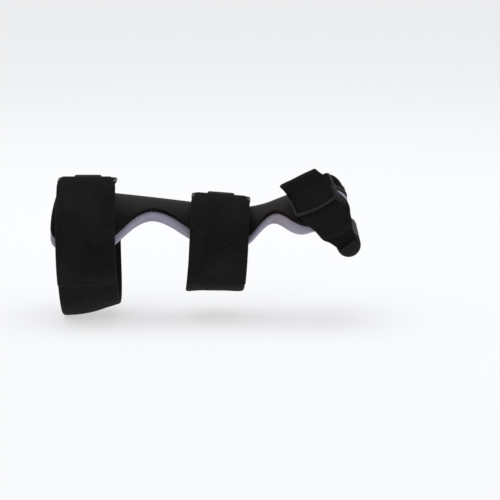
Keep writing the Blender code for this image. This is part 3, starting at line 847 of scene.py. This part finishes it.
def splineThrough(knots, steps):
    values = []
    for k in range(len(knots) - 1):
        four = [knots[max(0, min(len(knots) - 1, k + i))] for i in (-1, 0, 1, 2)]
        for step in range(steps):
            u = step / steps
            weights = (
                -0.5 * u + u * u - 0.5 * u ** 3, 1 - 2.5 * u * u + 1.5 * u ** 3,
                0.5 * u + 2 * u * u - 1.5 * u ** 3, -0.5 * u * u + 0.5 * u ** 3,
            )
            values.append([
                four[0][part] * weights[0] + four[1][part] * weights[1]
                + four[2][part] * weights[2] + four[3][part] * weights[3]
                for part in range(len(knots[0]))
            ])
    values.append(list(knots[-1]))
    return values


def handBand(name, node, knots, cloth):
    steps = handStrap["stepsPerKnot"]
    curve = splineThrough(knots, steps)
    lines = []
    for k in range(handStrap["stepsAcross"] + 1):
        share = endsDense(k / handStrap["stepsAcross"]) - 0.5
        line = [place + across.normalized() * (width * share) for place, across, width in curve]
        lines.append(offTheShell(line, handStrap["thickness"], round(5 / 3 * steps), steps))
    piece = band(name, lines, handStrap["thickness"], handStrap["rim"], 0.12)
    finishPiece(piece, cloth, [node])


def slotKnots(side):
    up, along = slotWays()
    knots = []
    for row in handStrap["slotKnots"]:
        out = Vector((0, side * row["out"] * handStrap["thickness"], 0))
        place = slotPlace(side) + up * (row["rise"] * bar["diameter"] / 2) + out
        knots.append((place, along, row["width"] * handStrap["width"]))
    return knots


def drapeKnots(drape, side):
    # the first knot still faces as the slot does
    ways = [slotWays()[1]] + [handRingFrame()[1]] * (len(drape) - 1)
    return [
        (armPoint(placeAlong(row["along"]), side * math.radians(row["angle"]),
                  strapSeat + row["lift"] * handStrap["thickness"]),
         way, row["width"] * handStrap["width"])
        for row, way in zip(drape, ways)
    ]


def makePalmStrap(cloth):
    near, along, short, outward = handRingFrame()
    turn = ring["wire"] / 2 + fitGap + handStrap["thickness"] / 2
    knots = slotKnots(-1) + drapeKnots(handStrap["palmDrape"], -1)
    for row in handStrap["ringKnots"]:
        upRing = row["span"] * handStrap["ringSpan"] + row["short"] * handStrap["fold"]
        offRing = row["turn"] * turn + row["out"] * handStrap["fold"]
        place = near + short * upRing + outward * offRing
        place += along * (row["shift"] * handStrap["width"])
        width = max(handStrap["gathered"], row["width"] * handStrap["width"])
        knots.append((place, along, width))
    handBand("palm_cloth", "palm_strap", knots, cloth)
    print("palm strap made")


def makeUlnarStrap(cloth):
    knots = slotKnots(1) + drapeKnots(handStrap["ulnarDrape"], 1)
    handBand("ulnar_cloth", "ulnar_strap", knots, cloth)
    print("ulnar strap made")


def makeHandRing(wire):
    near, along, short, outward = handRingFrame()
    centre = near + short * (handStrap["ringSpan"] / 2)
    length = handStrap["gathered"] + 2 * ring["slack"] + ring["wire"]
    wireRing("hand_wire", "hand_ring", centre, along, short, length, handStrap["ringSpan"],
             wire, handStrap["ringBow"])
    print("hand ring made")


def cutAbove(piece, side, inner, outer, foot):
    # takes off what lies above a foot between two places along Y
    up, along = slotWays()
    turn = Matrix((along, Vector((0, 1, 0)), up)).transposed().to_4x4()
    long, tall = (share * bar["diameter"] for share in bar["cutter"])
    middle = barCentre() + up * (tall / 2 + foot * bar["diameter"] / 2)
    middle.y += side * (inner + outer) / 2
    bpy.ops.object.select_all(action="DESELECT")
    bpy.ops.mesh.primitive_cube_add(size=1)
    cutter = bpy.context.object
    size = Matrix.Diagonal((long, outer - inner, tall, 1))
    cutter.data.transform(Matrix.Translation(middle) @ turn @ size)
    applied(piece, "BOOLEAN", operation="DIFFERENCE", solver="EXACT", object=cutter)
    bpy.data.objects.remove(cutter, do_unlink=True)


def makePalmBar():
    centre = barCentre()
    bpy.ops.object.select_all(action="DESELECT")
    bpy.ops.mesh.primitive_cylinder_add(
        vertices=64, radius=bar["diameter"] / 2, depth=bar["length"], location=centre,
        rotation=(math.radians(90), 0, 0),
    )
    piece = bpy.context.object
    piece.name = piece.data.name = "palm_grip"
    bpy.ops.object.transform_apply(location=True, rotation=True, scale=True)
    applied(piece, "BEVEL", width=bar["round"], segments=6, limit_method="ANGLE")
    half = bar["length"] / 2
    lipFace = half - bar["lip"]
    slotFace = lipFace - handStrap["thickness"] - bar["slotSlack"]
    for side in (-1, 1):
        cutAbove(piece, side, slotFace, lipFace, bar["slotFoot"])
        cutAbove(piece, side, (slotFace + lipFace) / 2, half + bar["lip"], bar["lipFoot"])
    applied(piece, "REMESH", mode="VOXEL", voxel_size=0.0005)
    applied(piece, "SMOOTH", factor=0.6, iterations=6)
    smoothed(piece, 60)
    finishPiece(piece, rubberFinish(bar["look"]), ["palm_bar"])
    print("palm bar made")


# Studio

studio = {
    "elevation": 8,
    "distance": 2.4,
    "frameWidth": 0.3544,
    "aim": (0.0196, 0, -0.02354),
    "floor": (0.50, 0.505, 0.515, 1),
    "floorGlow": 0.55,
    "air": (0.96, 0.98, 1, 1),
    "airStrength": 0.58,
    "lights": table(
        "name place size power",
        ("overhead", (-0.10, 0.55, 1.35), 1.5, 7),
        ("front", (-0.55, -1.25, 0.75), 1.0, 1.5),
        ("fingers", (1.20, -0.35, 0.55), 0.8, 1.2),
    ),
}


def makeStudio():
    bpy.ops.object.select_all(action="DESELECT")
    bpy.ops.mesh.primitive_plane_add(size=30, location=(0, 0, cadBox[0][2] - 0.0005))
    floor = bpy.context.object
    floor.name = "studio_floor"
    bpy.ops.object.transform_apply(location=True, rotation=True, scale=True)
    floor.data.materials.append(floorFinish(studio["floor"], studio["floorGlow"]))

    aim = Vector(studio["aim"])
    rise = math.radians(studio["elevation"])
    spot = aim + Vector((0, -math.cos(rise), math.sin(rise))) * studio["distance"]
    bpy.ops.object.camera_add(location=spot, rotation=(math.radians(90) - rise, 0, 0))
    camera = bpy.context.object
    camera.name = "studio_camera"
    camera.data.sensor_width = 36
    camera.data.lens = 36 * studio["distance"] / studio["frameWidth"]
    bpy.context.scene.camera = camera

    for row in studio["lights"]:
        bpy.ops.object.light_add(type="AREA", location=row["place"])
        lamp = bpy.context.object
        lamp.name = "studio_" + row["name"]
        lamp.data.size = row["size"]
        lamp.data.energy = row["power"]
        way = aim - Vector(row["place"])
        lamp.rotation_euler = way.to_track_quat("-Z", "Y").to_euler()

    world = bpy.data.worlds.new("studio_air")
    world.use_nodes = True
    sky = world.node_tree.nodes["Background"].inputs
    sky["Color"].default_value = studio["air"]
    sky["Strength"].default_value = studio["airStrength"]
    bpy.context.scene.world = world
    bpy.context.scene.view_settings.view_transform = "Standard"
    print("studio set")


makeShell()
makePad()
cloth = loopFinish(wideStrap["look"])
webbing = webbingFinish(chafe["look"])
wire = wireFinish(ring["look"])
for loop in wideStrap["loops"]:
    makeLoop(loop, cloth, webbing, wire)
makePalmStrap(cloth)
makeUlnarStrap(cloth)
makeHandRing(wire)
makePalmBar()
makeStudio()
